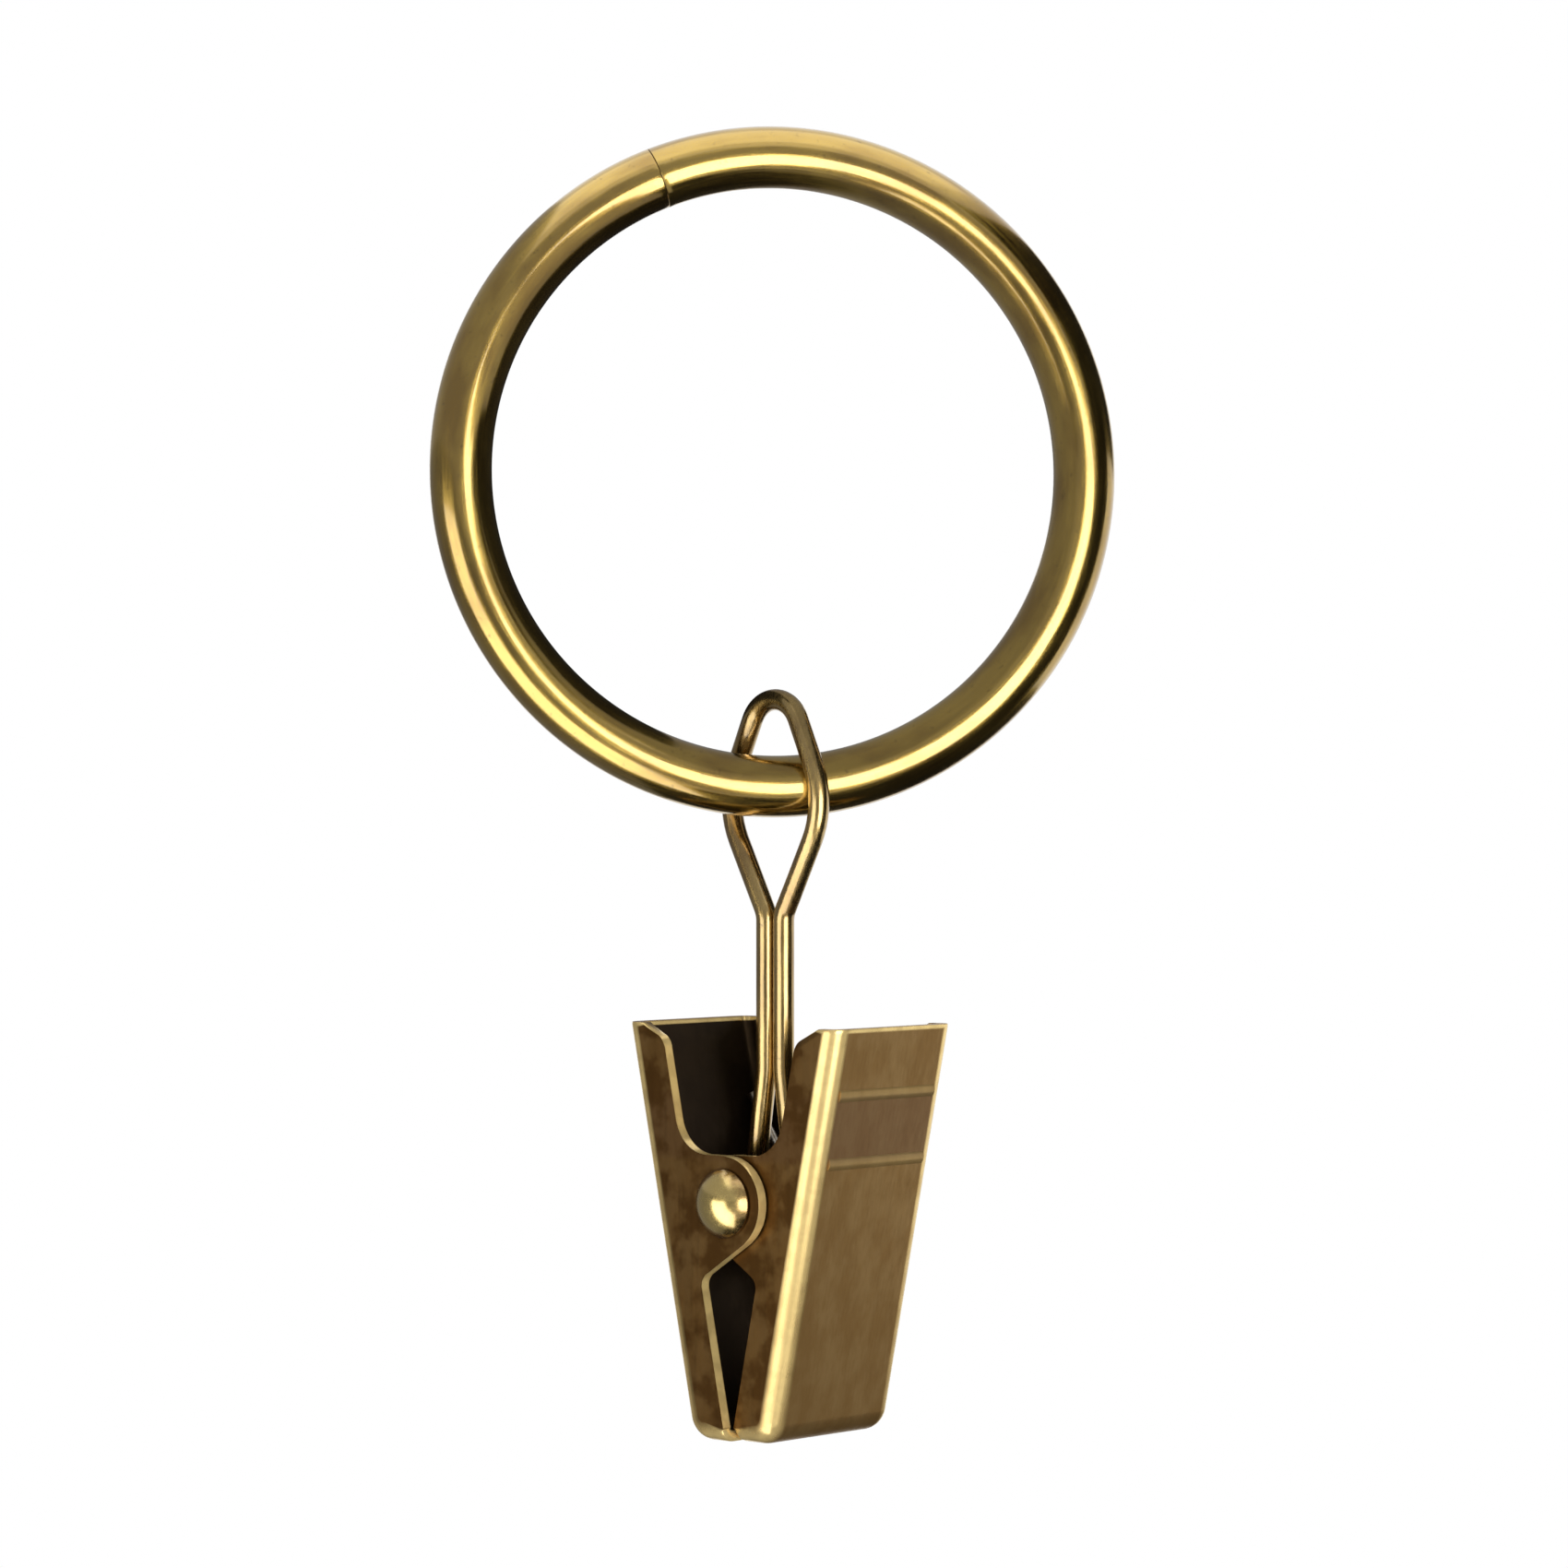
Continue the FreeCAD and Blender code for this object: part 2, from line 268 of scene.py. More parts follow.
def make_eyelet():
    """Bend the wire from its end under the rivet, up one side, over the arch and back."""
    loop_radius = SHANK_DIAMETER / 2 + PIVOT_GAP + EYELET_WIRE / 2
    length = -ring_radius - rivet_place.z / MM
    ring_half_width = ring_wire / 2 / abs(math.sin(clip_turn))
    widest = ring_half_width + EYELET_RING_GAP + EYELET_WIRE / 2
    side_centre = Vector((widest - EYELET_SIDE_BEND, 0, length - EYELET_SIDE_DROP))
    strand = Vector(((EYELET_WIRE + EYELET_WAIST_GAP) / 2, 0, 0))

    foot = direction(EYELET_FOOT_LEAN) * loop_radius
    foot_run = direction(90 + EYELET_FOOT_LEAN)
    neck = side_centre + direction(-EYELET_NECK_LEAN) * EYELET_SIDE_BEND
    neck_run = direction(90 - EYELET_NECK_LEAN)
    flank = side_centre + direction(EYELET_ARCH_LEAN) * EYELET_SIDE_BEND
    flank_run = direction(90 + EYELET_ARCH_LEAN)
    right_half = [
        (meet(foot, foot_run, strand, UP), EYELET_FOOT_BEND),
        (meet(neck, neck_run, strand, UP), EYELET_NECK_BEND),
        (meet(neck, neck_run, flank, flank_run), EYELET_SIDE_BEND),
    ]
    apex = (meet(flank, flank_run, CENTRE, UP), EYELET_ARCH_RADIUS)
    left_half = [(mirrored(point), radius) for point, radius in reversed(right_half)]

    bm = bmesh.new()
    end_turn = math.degrees(EYELET_END_GAP / 2 / loop_radius)
    wire_end = direction(end_turn - 90) * loop_radius
    tilt = Matrix.Rotation(-math.radians(end_turn - 90), 4, "Y")
    section = wire_section(bm, EYELET_WIRE, Matrix.Translation(wire_end) @ tilt)
    loop_turn = 90 + EYELET_FOOT_LEAN - end_turn
    front = bend(bm, section, CENTRE, loop_turn)
    front = form(bm, front, foot, right_half + [apex] + left_half + [(mirrored(foot), 0)])
    bend(bm, front, CENTRE, loop_turn)
    close_ends(bm, EYELET_END_ROUND)
    return make_piece("eyelet_wire", bm, eyelet_place, "eyelet")


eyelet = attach(make_eyelet(), "eyelet")

# %% [markdown]
# ## The jaws
#
# Each jaw is pressed from one sheet: a broad plate with a finger lever above the rivet, two flanges
# with ears that the rivet passes through, and a tip turned in to bite the cloth. Sheet metal is easiest
# as a thin skin that gets its thickness last. The plate's outline is drawn with the former and extruded
# across the width, the flanges are filled at both sides, the folds are bevelled, and the whole skin is
# made solid. The cut edges are then broken with a tiny bevel, because that is where light catches.

# %% Jaw sizes
JAW_WIDTH = 10.2
SHEET = 0.65
FOLD_RADIUS = 1.1
JAW_LEAN = 12.0
JAW_HALF_SPREAD = 5.64
LEVER_RISE = 9.9
TIP_DROP = 13.4
TIP_RADIUS = 1.5
BITE_GAP = 0.1
BITE_HEIGHT = 0.81
FLANGE_DEPTH = 2.85
FLANGE_TOP_DROP = 1.5
FLANGE_TOP_ROUND = 1.0
EAR_RADIUS = 2.65
EAR_SLOPE = 33.0
EAR_FILLET = 2.4
SHOULDER_ROUND = 0.8
EAR_SIDE_GAP = 0.1
RIB_HEIGHTS = (2.4, 6.3)
RIB_WIDTH = 0.7
RIB_RISE = 0.12
EDGE_BREAK = 0.27
EDGE_STEPS = 4
FOLD_STEPS = 8

half_width = JAW_WIDTH / 2
jaw_shift = (SHEET + EAR_SIDE_GAP) / 2
print("jaw", JAW_WIDTH, "mm wide and", round(LEVER_RISE + TIP_DROP, 1), "mm tall")


# %% Jaw outline
def jaw_outlines():
    """Corners of the plate, from bite to lever top, and of the flange from there back to the bite."""
    up = direction(90 - JAW_LEAN)
    inward = direction(180 - JAW_LEAN)
    outer_face = Vector((JAW_HALF_SPREAD, 0, 0))
    flange_edge = outer_face + inward * FLANGE_DEPTH
    ear_top = Vector((0, 0, EAR_RADIUS))
    ear_run = direction(-EAR_SLOPE)
    ear_under = direction(-90 - EAR_SLOPE) * EAR_RADIUS
    bite_top = Vector((BITE_GAP / 2, 0, BITE_HEIGHT - TIP_DROP))
    tip_bottom = Vector((0, 0, -TIP_DROP))
    lever_top = meet(outer_face, up, Vector((0, 0, LEVER_RISE)), ACROSS)
    plate = [
        (meet(bite_top, UP, tip_bottom, ACROSS), 0),
        (meet(outer_face, up, tip_bottom, ACROSS), TIP_RADIUS),
        (lever_top, 0),
    ]
    flange = [
        (lever_top + inward * FOLD_RADIUS, 0),
        (lever_top + inward * FLANGE_DEPTH - up * FLANGE_TOP_DROP, FLANGE_TOP_ROUND),
        (meet(flange_edge, up, ear_top, ACROSS), EAR_FILLET),
        (meet(ear_top, ACROSS, ear_under, ear_run), EAR_RADIUS),
        (meet(ear_under, ear_run, bite_top, up), SHOULDER_ROUND),
        (bite_top, 0),
        (plate[0][0], 0),
    ]
    return plate, flange


# %% Jaw skin
FOLD_ANGLE = math.radians(80)
FOLD = 1
CUT = 2


def draw(bm, start, corners):
    """Draw an outline from a new vertex and return its edges."""
    before = set(bm.edges)
    pen = bmesh.ops.create_vert(bm, co=start)["vert"]
    form(bm, pen, start, corners)
    return [edge for edge in bm.edges if edge not in before]


def make_jaw_skin(bm, polished_and_highlit):
    """Outer skin of a jaw: plate, two flanges and rounded folds, which are marked."""
    plate, flange = jaw_outlines()
    plate_edges = draw(bm, plate[0][0], plate[1:])
    bmesh.ops.translate(bm, verts=bm.verts, vec=(0, -half_width, 0))
    bmesh.ops.spin(
        bm, geom=plate_edges, axis=(0, 1, 0), dvec=(0, JAW_WIDTH, 0), angle=0, steps=1
    )
    for side in (-half_width, half_width):
        flange_edges = draw(bm, plate[-1][0], flange)
        flange_verts = once(vert for edge in flange_edges for vert in edge.verts)
        bmesh.ops.translate(bm, verts=flange_verts, vec=(0, side, 0))
    bmesh.ops.remove_doubles(bm, verts=bm.verts, dist=MERGE_DISTANCE)
    for side in (-half_width, half_width):
        rim = [
            edge for edge in bm.edges
            if all(abs(vert.co.y - side) < MERGE_DISTANCE for vert in edge.verts)
        ]
        bmesh.ops.contextual_create(bm, geom=rim)
    folds = [
        edge for edge in bm.edges
        if len(edge.link_faces) == 2 and abs(edge.calc_face_angle()) > FOLD_ANGLE
    ]
    rounded = bmesh.ops.bevel(
        bm, geom=folds, offset=FOLD_RADIUS, segments=FOLD_STEPS, profile=0.5, affect="EDGES",
        material=-1, clamp_overlap=False,
    )
    for face in rounded["faces"]:
        face[polished_and_highlit] = FOLD
    bmesh.ops.recalc_face_normals(bm, faces=bm.faces)


# %% [markdown]
# Solidify gives the skin its thickness. Then the lever's top is cut level, the cut edges are rounded,
# and each flange is filled again round the rivet's hole. Folds and cut edges are painted bright, partly
# as wear where handling rubs the brown off and partly as a painted highlight. The flanges get painted
# shade, and the hollow the darkest painted shade, partly tarnished there. The mesh keeps this in two
# vertex attributes, which the finish reads later. The lever also has two low ribs for the fingers, laid
# on as thin rounded bars.

# %% Hollow and cut edges
HEIGHT_SHARE = 0.3
CUT_ANGLE = math.radians(60)
WELD_DISTANCE = 0.01
FLAP_AREA = 1e-4


def mark_inside(bm, polished_and_highlit, hidden):
    """Mark the faces that look towards a point in the hollow. Height counts less, as a jaw is tall."""
    bmesh.ops.recalc_face_normals(bm, faces=bm.faces)
    for face in bm.faces:
        away = face.calc_center_median() - ACROSS
        away.z *= HEIGHT_SHARE
        if face.normal.dot(away) < 0:
            face[hidden] = 1
            face[polished_and_highlit] = 0


def break_cut_edges(bm, polished_and_highlit, hidden):
    """Round the edges of the cut sheet, and mark them and the rim between them."""
    cut_edges = [
        edge for edge in bm.edges
        if len(edge.link_faces) == 2 and edge.calc_face_angle() > CUT_ANGLE
    ]
    found = set(cut_edges)
    for face in bm.faces:
        if sum(edge in found for edge in face.edges) > 1 and len(face.edges) == 4:
            face[polished_and_highlit] = CUT
            face[hidden] = 0
    broken = bmesh.ops.bevel(
        bm, geom=cut_edges, offset=EDGE_BREAK, offset_type="ABSOLUTE", segments=EDGE_STEPS,
        profile=0.5, affect="EDGES", material=-1,
    )
    for face in broken["faces"]:
        face[polished_and_highlit] = CUT
        face[hidden] = 0


def drop_flaps(bm):
    """Weld the mesh, and drop the faces without area but with a free edge that tight corners leave."""
    bmesh.ops.remove_doubles(bm, verts=bm.verts, dist=WELD_DISTANCE)
    flaps = bm.faces[:]
    while flaps:
        flaps = [
            face for face in bm.faces
            if face.calc_area() < FLAP_AREA and any(edge.is_boundary for edge in face.edges)
        ]
        bmesh.ops.delete(bm, geom=flaps, context="FACES")


# %% Lever top and rivet holes
FLAT_NORMAL = 0.99
FLANGE_AREA = 30.0


def trim_lever(bm):
    """Cut the lever's top level and close the cut."""
    geom = bm.verts[:] + bm.edges[:] + bm.faces[:]
    cut = bmesh.ops.bisect_plane(
        bm, geom=geom, dist=MERGE_DISTANCE, plane_co=(0, 0, LEVER_RISE), plane_no=UP, clear_outer=True
    )
    rim = [part for part in cut["geom_cut"] if isinstance(part, bmesh.types.BMEdge)]
    bmesh.ops.contextual_create(bm, geom=rim)


def pierce(bm, hidden):
    """Open the rivet's hole: fill each flange again round a circle, and join the circles."""
    flats = [
        face for face in bm.faces
        if abs(face.normal.y) > FLAT_NORMAL and face.calc_area() > FLANGE_AREA
    ]
    holes = []
    for flat in flats:
        side = flat.calc_center_median().y
        inner = flat[hidden]
        facing = flat.normal.copy()
        place = Matrix.Translation((0, side, 0)) @ Matrix.Rotation(math.pi / 2, 4, "X")
        hole = wire_section(bm, SHANK_DIAMETER + 2 * PIVOT_GAP, place)
        rim = list(flat.edges)
        bmesh.ops.delete(bm, geom=[flat], context="FACES_ONLY")
        filled = bmesh.ops.triangle_fill(bm, use_beauty=True, edges=rim + hole, normal=facing)
        faces = [part for part in filled["geom"] if isinstance(part, bmesh.types.BMFace)]
        for face in faces:
            face[hidden] = inner
        holes.append((side, hole))
        print("flange of", round(sum(face.calc_area() for face in faces), 1), "square mm pierced")
    holes.sort(key=lambda entry: entry[0])
    for first, second in ((0, 1), (2, 3)):
        bridge = bmesh.ops.bridge_loops(bm, edges=holes[first][1] + holes[second][1])
        for face in bridge["faces"]:
            face[hidden] = 0


# %% Ribs
def add_rib(bm, height):
    """Lay a low rounded bar across the lever's outer face and return its vertices."""
    up = direction(90 - JAW_LEAN)
    outward = direction(-JAW_LEAN)
    centre = Vector((JAW_HALF_SPREAD, 0, 0)) + up * height
    radius = (RIB_WIDTH ** 2 / 4 + RIB_RISE ** 2) / (2 * RIB_RISE)
    turn = 2 * math.degrees(math.asin(RIB_WIDTH / 2 / radius))
    reach = half_width - FOLD_RADIUS
    before = set(bm.verts)
    start = centre - up * (RIB_WIDTH / 2) + Vector((0, -reach, 0))
    pen = bmesh.ops.create_vert(bm, co=start)["vert"]
    bend(bm, pen, centre + outward * (RIB_RISE - radius), turn)
    arc = [vert for vert in bm.verts if vert not in before]
    profile = bmesh.ops.contextual_create(bm, geom=arc)["faces"]
    bar = bmesh.ops.extrude_face_region(bm, geom=profile)["geom"]
    moved = [part for part in bar if isinstance(part, bmesh.types.BMVert)]
    bmesh.ops.translate(bm, verts=moved, vec=(0, 2 * reach, 0))
    return [vert for vert in bm.verts if vert not in before]


# %% Build both jaws
# Share of the bright colour on the ribs: wear and a painted highlight.
RIB_POLISH_AND_HIGHLIGHT = 0.22
# Level of painted shade on the flanges.
FLANGE_SHADE = 0.4


def rubbing_and_highlight(vert, polished_and_highlit):
    """Wear and painted highlight: one on a cut edge, most on a fold's crest, none where a plain face
    begins.
    """
    marks = {face[polished_and_highlit] for face in vert.link_faces}
    if 0 in marks:
        return 0.0
    if marks == {FOLD}:
        return 2 * abs(vert.normal.y) * math.sqrt(1 - vert.normal.y ** 2)
    return 1.0


def shade_and_tarnish_level(vert, hidden):
    """Painted shade: one in the hollow, partly tarnish there, a part of that on the flanges, none on the
    plate.
    """
    if any(face[hidden] for face in vert.link_faces):
        return 1.0
    if any(abs(face.normal.y) > FLAT_NORMAL for face in vert.link_faces):
        return FLANGE_SHADE
    return 0.0


def make_jaw(name, node, half_turn):
    """Thicken a skin, break its cut edges, add the ribs, and turn it to its side of the clip."""
    bm = bmesh.new()
    polished_and_highlit = bm.faces.layers.int.new("polished_and_highlit")
    hidden = bm.faces.layers.int.new("hidden")
    # Vertex attribute for the bright colour: wear and a painted highlight on folds, cut edges and ribs.
    polish_and_highlight = bm.verts.layers.float.new("polish_and_highlight")
    # Vertex attribute for painted shade: flanges darker, the hollow darkest and partly tarnished there.
    shade_and_tarnish = bm.verts.layers.float.new("shade_and_tarnish")
    make_jaw_skin(bm, polished_and_highlit)
    bmesh.ops.solidify(bm, geom=bm.faces, thickness=SHEET)
    mark_inside(bm, polished_and_highlit, hidden)
    trim_lever(bm)
    break_cut_edges(bm, polished_and_highlit, hidden)
    drop_flaps(bm)
    pierce(bm, hidden)
    free = sum(len(edge.link_faces) != 2 for edge in bm.edges)
    print(name, "has", free, "edges that don't join two faces")
    bm.normal_update()
    for vert in bm.verts:
        vert[polish_and_highlight] = rubbing_and_highlight(vert, polished_and_highlit)
        vert[shade_and_tarnish] = shade_and_tarnish_level(vert, hidden)
    for height in RIB_HEIGHTS:
        for vert in add_rib(bm, height):
            vert[polish_and_highlight] = RIB_POLISH_AND_HIGHLIGHT
    turn = Matrix.Rotation(half_turn, 4, "Z") @ Matrix.Translation((0, jaw_shift, 0))
    jaw = make_piece(name, bm, clip_place @ turn, node)
    flat_faces = jaw.modifiers.new("flat_faces", "WEIGHTED_NORMAL")
    flat_faces.keep_sharp = True
    return jaw


right_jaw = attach(make_jaw("right_jaw_sheet", "right_jaw", 0), "right_jaw")
left_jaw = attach(make_jaw("left_jaw_sheet", "left_jaw", math.pi), "left_jaw")

# %% [markdown]
# ## The rivet
#
# The rivet is the hinge of the clip, a pin with a domed head at each end. Its outline is a dome's arc,
# the underside of the head and half the shank. A full spin about the rivet's axis turns it solid, as a
# lathe would, and a mirror makes the other end.

# %% Rivet
HEAD_DIAMETER = 4.0
HEAD_RISE = 1.2
HEAD_GAP = 0.05
HEAD_EDGE_ROUND = 0.12
HEAD_EDGE_STEPS = 3
HEAD_EDGE_NEAR = 0.01
DOME_STEPS = 14
LATHE_STEPS = 64
MIRROR_MERGE = 0.001


def make_rivet():
    """Draw half an outline in the XY plane, turn it about Y and mirror it."""
    bm = bmesh.new()
    seat = half_width + jaw_shift + HEAD_GAP
    head_radius = HEAD_DIAMETER / 2
    dome_radius = (head_radius ** 2 + HEAD_RISE ** 2) / (2 * HEAD_RISE)
    dome_centre = (0, seat + HEAD_RISE - dome_radius, 0)
    dome_turn = -math.asin(head_radius / dome_radius)
    pen = bmesh.ops.create_vert(bm, co=(0, seat + HEAD_RISE, 0))["vert"]
    dome = bmesh.ops.spin(
        bm, geom=pen, cent=dome_centre, axis=(0, 0, 1), angle=dome_turn, steps=DOME_STEPS
    )
    front = feed(bm, dome["geom_last"], (SHANK_DIAMETER / 2 - head_radius, 0, 0))
    feed(bm, front, (0, -seat, 0))
    bmesh.ops.spin(
        bm, geom=bm.edges[:], axis=(0, 1, 0), angle=2 * math.pi, steps=LATHE_STEPS, use_merge=True
    )
    bmesh.ops.remove_doubles(bm, verts=bm.verts, dist=MERGE_DISTANCE)
    head_edge = [
        edge for edge in bm.edges
        if all(abs(vert.co.xz.length - head_radius) < HEAD_EDGE_NEAR for vert in edge.verts)
    ]
    bmesh.ops.bevel(
        bm, geom=head_edge, offset=HEAD_EDGE_ROUND, segments=HEAD_EDGE_STEPS, profile=0.5,
        affect="EDGES", material=-1,
    )
    half = bm.verts[:] + bm.edges[:] + bm.faces[:]
    bmesh.ops.mirror(bm, geom=half, axis="Y", merge_dist=MIRROR_MERGE)
    return make_piece("rivet_pin", bm, clip_place, "pivot_rivet")


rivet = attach(make_rivet(), "left_jaw")

# %% [markdown]
# ## The spring
#
# A torsion spring sits on the rivet inside the clip and presses a leg against each lever. The former
# winds it: a leg is fed, a spin with a step along the axis makes the coil, and the other leg is fed.
# Its placing is baked into its mesh, and it is tied to no body.

# %% Spring
SPRING_WIRE = 0.6
SPRING_BORE_GAP = 0.1
SPRING_TURN_GAP = 0.05
SPRING_EYELET_GAP = 0.15
SPRING_TURNS = 5
SPRING_LEG_REACH = 6.6
SPRING_LEG_GAP = 0.05
SPRING_END_ROUND = 0.075
COIL_STEP = 12.0

coil_radius = SHANK_DIAMETER / 2 + SPRING_BORE_GAP + SPRING_WIRE / 2
coil_pitch = SPRING_WIRE + SPRING_TURN_GAP
coil_start = EYELET_WIRE / 2 + SPRING_EYELET_GAP + SPRING_WIRE / 2 - EYELET_FORWARD
lever_inside = JAW_HALF_SPREAD * math.cos(math.radians(JAW_LEAN)) - SHEET
leg_end = direction(90 - JAW_LEAN) * SPRING_LEG_REACH
leg_end += direction(-JAW_LEAN) * (lever_inside - SPRING_LEG_GAP - SPRING_WIRE / 2)
leg_length = math.sqrt(leg_end.length ** 2 - coil_radius ** 2)
leg_lean = math.atan2(leg_end.x, leg_end.z) - math.atan2(coil_radius, leg_length)
wound = (2 * SPRING_TURNS - 1) * math.pi - 2 * leg_lean
coil_length = coil_pitch * wound / (2 * math.pi)
print("spring wound", round(math.degrees(wound)), "degrees, coil", round(coil_length, 2), "mm long")


def make_spring():
    """Feed a leg, wind the coil along Y and feed the other leg."""
    bm = bmesh.new()
    climb = leg_length / coil_radius * coil_pitch / (2 * math.pi)
    first_leg = Vector((0, -climb, leg_length))
    last_leg = Matrix.Rotation(wound, 3, "Y") @ Vector((0, climb, -leg_length))
    section = wire_section(bm, SPRING_WIRE, Matrix.Translation(first_leg + ACROSS * coil_radius))
    front = feed(bm, section, -first_leg)
    steps = round(math.degrees(wound) / COIL_STEP)
    coil = bmesh.ops.spin(
        bm, geom=front, axis=(0, 1, 0), dvec=(0, coil_length / steps, 0), angle=wound, steps=steps
    )
    feed(bm, coil["geom_last"], last_leg)
    close_ends(bm, SPRING_END_ROUND)
    place = Matrix.Translation((0, coil_start, 0)) @ Matrix.Rotation(leg_lean, 4, "Y")
    return make_piece("spring_wire", bm, clip_place @ place, "torsion_spring")


spring = make_spring()
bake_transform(spring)

# %% [markdown]
# ## Antique brass
#
# The pieces are brass with an antique finish: brown tarnish that has been rubbed back, so the metal is
# uneven in colour and gloss. Every finish below is a metal shader fed by noise. One noise is broad and
# mixes a rubbed colour with a tarnished one. The other is stretched along the way the metal was drawn
# or brushed, and drives the roughness and a faint bump. Coordinates are turned into millimetres first,
# so that a noise scale of 2 means two blots in a millimetre on every piece.

# %% Helpers for finishes
NOISE_ROUGHNESS = 0.55


def add_node(tree, kind, inputs, **settings):
    """Add a shader node, set its properties, and fill or link its inputs."""
    node = tree.nodes.new(kind)
    for name, value in settings.items():
        setattr(node, name, value)
    for name, value in inputs.items():
        if isinstance(value, bpy.types.NodeSocket):
            tree.links.new(value, node.inputs[name])
        else:
            node.inputs[name].default_value = value
    return node


def math_node(tree, operation, first, second=0.0):
    """Result of a maths operation on two numbers."""
    return add_node(tree, "ShaderNodeMath", {0: first, 1: second}, operation=operation).outputs[0]


def ramp(tree, value, from_low, from_high, to_low=0.0, to_high=1.0):
    """Number mapped from one range to another, eased at both ends."""
    inputs = {
        "Value": value, "From Min": from_low, "From Max": from_high, "To Min": to_low, "To Max": to_high
    }
    node = add_node(tree, "ShaderNodeMapRange", inputs, interpolation_type="SMOOTHSTEP")
    return node.outputs["Result"]


def mix(tree, factor, first, second):
    """Mix of two numbers."""
    return add_node(tree, "ShaderNodeMix", {0: factor, 2: first, 3: second}).outputs[0]


def tint(tree, factor, color_a, color_b):
    """Mix of two colours."""
    inputs = {"Factor": factor, 6: color_a, 7: color_b}
    return add_node(tree, "ShaderNodeMix", inputs, data_type="RGBA").outputs[2]


def noise(tree, vector, scale, detail=3.0):
    """Noise from 0 to 1."""
    inputs = {"Vector": vector, "Scale": scale, "Detail": detail, "Roughness": NOISE_ROUGHNESS}
    return add_node(tree, "ShaderNodeTexNoise", inputs).outputs["Fac"]


def stretched(tree, vector, scale):
    """Vector scaled on each axis."""
    return add_node(tree, "ShaderNodeMapping", {"Vector": vector, "Scale": scale}).outputs["Vector"]


# %% Coordinates for finishes
def clip_coordinates(tree):
    """Object coordinates in the clip's frame, in millimetres."""
    source = add_node(tree, "ShaderNodeTexCoord", {}).outputs["Object"]
    inputs = {
        "Vector": source, "Location": clip_place.translation, "Rotation": (0, 0, clip_turn),
        "Scale": (MM, MM, MM),
    }
    return add_node(tree, "ShaderNodeMapping", inputs, vector_type="TEXTURE").outputs["Vector"]


def ring_coordinates(tree):
    """Place along the ring's wire from its seam, and across its section, in millimetres."""
    source = add_node(tree, "ShaderNodeTexCoord", {}).outputs["Object"]
    inputs = {
        "Vector": source, "Rotation": (0, math.pi - math.radians(SEAM_ANGLE), 0), "Scale": (MM, MM, MM)
    }
    turned = add_node(tree, "ShaderNodeMapping", inputs, vector_type="TEXTURE").outputs["Vector"]
    x, y, z = add_node(tree, "ShaderNodeSeparateXYZ", {"Vector": turned}).outputs
    along = math_node(tree, "MULTIPLY", math_node(tree, "ARCTAN2", z, x), ring_radius)
    flat = add_node(tree, "ShaderNodeCombineXYZ", {"X": x, "Z": z}).outputs[0]
    reach = add_node(tree, "ShaderNodeVectorMath", {0: flat}, operation="LENGTH").outputs["Value"]
    across = math_node(tree, "SUBTRACT", reach, ring_radius)
    return add_node(tree, "ShaderNodeCombineXYZ", {"X": across, "Y": y, "Z": along}).outputs[0]


# %% Recipe for the metals
LACQUER_ROUGHNESS = 0.1
LACQUER_IOR = 1.7
WIRE_LACQUER = 0.8
SPECK_SHARE = 0.45
GRAIN_STRENGTH = 0.5
GRAIN_LOW = 0.3
GRAIN_HIGH = 0.7


def new_finish(name, lacquer):
    """Material of metal under some clear lacquer, with its node tree and its shader."""
    material = bpy.data.materials.new(name)
    material.use_nodes = True
    shader = material.node_tree.nodes["Principled BSDF"]
    shader.inputs["Metallic"].default_value = 1
    shader.inputs["Coat Weight"].default_value = lacquer
    shader.inputs["Coat Roughness"].default_value = LACQUER_ROUGHNESS
    shader.inputs["Coat IOR"].default_value = LACQUER_IOR
    return material, material.node_tree, shader


def grain(tree, shader, streaks, gloss, matt, depth):
    """Let streaks drive a faint bump, and return the roughness that they give."""
    inputs = {"Height": streaks, "Strength": GRAIN_STRENGTH, "Distance": depth * MM}
    bump = add_node(tree, "ShaderNodeBump", inputs)
    tree.links.new(bump.outputs["Normal"], shader.inputs["Normal"])
    return ramp(tree, streaks, GRAIN_LOW, GRAIN_HIGH, gloss, matt)


def wire_brass(name, coordinates, rubbed, tarnished, gloss, matt):
    """Drawn brass wire: broad tarnished patches, dark specks and fine lines along the wire."""
    material, tree, shader = new_finish(name, WIRE_LACQUER)
    place = coordinates(tree)
    broad = ramp(tree, noise(tree, stretched(tree, place, (1, 1, 0.35)), scale=0.45), 0.38, 0.68)
    specks = ramp(tree, noise(tree, place, scale=2.6, detail=5.0), 0.6, 0.78, 0.0, 0.55)
    color = tint(tree, broad, (*rubbed, 1), (*tarnished, 1))
    dark = tuple(SPECK_SHARE * level for level in tarnished)
    color = tint(tree, specks, color, (*dark, 1))
    tree.links.new(color, shader.inputs["Base Color"])
    lines = noise(tree, stretched(tree, place, (1, 1, 0.05)), scale=7.0, detail=4.0)
    tree.links.new(grain(tree, shader, lines, gloss, matt, depth=0.012), shader.inputs["Roughness"])
    return material


# %% [markdown]
# ## Ring and eyelet finish
#
# Both are drawn wire, so the fine lines run along it. On the ring, along is an angle about its centre,
# which an arctangent gives. The angle has to jump somewhere, and it is turned so that it jumps at the
# seam. The eyelet runs nearly straight down, so there the clip's own height serves.

# %% Wire finishes
RING_RUBBED = (0.52, 0.345, 0.068)
RING_TARNISHED = (0.34, 0.205, 0.036)
EYELET_RUBBED = (0.50, 0.34, 0.11)
EYELET_TARNISHED = (0.29, 0.17, 0.05)

ring_brass = wire_brass(
    "ring_brass", ring_coordinates, RING_RUBBED, RING_TARNISHED, gloss=0.15, matt=0.25
)
eyelet_brass = wire_brass(
    "eyelet_brass", clip_coordinates, EYELET_RUBBED, EYELET_TARNISHED, gloss=0.18, matt=0.3
)
ring.data.materials.append(ring_brass)
eyelet.data.materials.append(eyelet_brass)
print("finishes:", ring_brass.name, eyelet_brass.name)
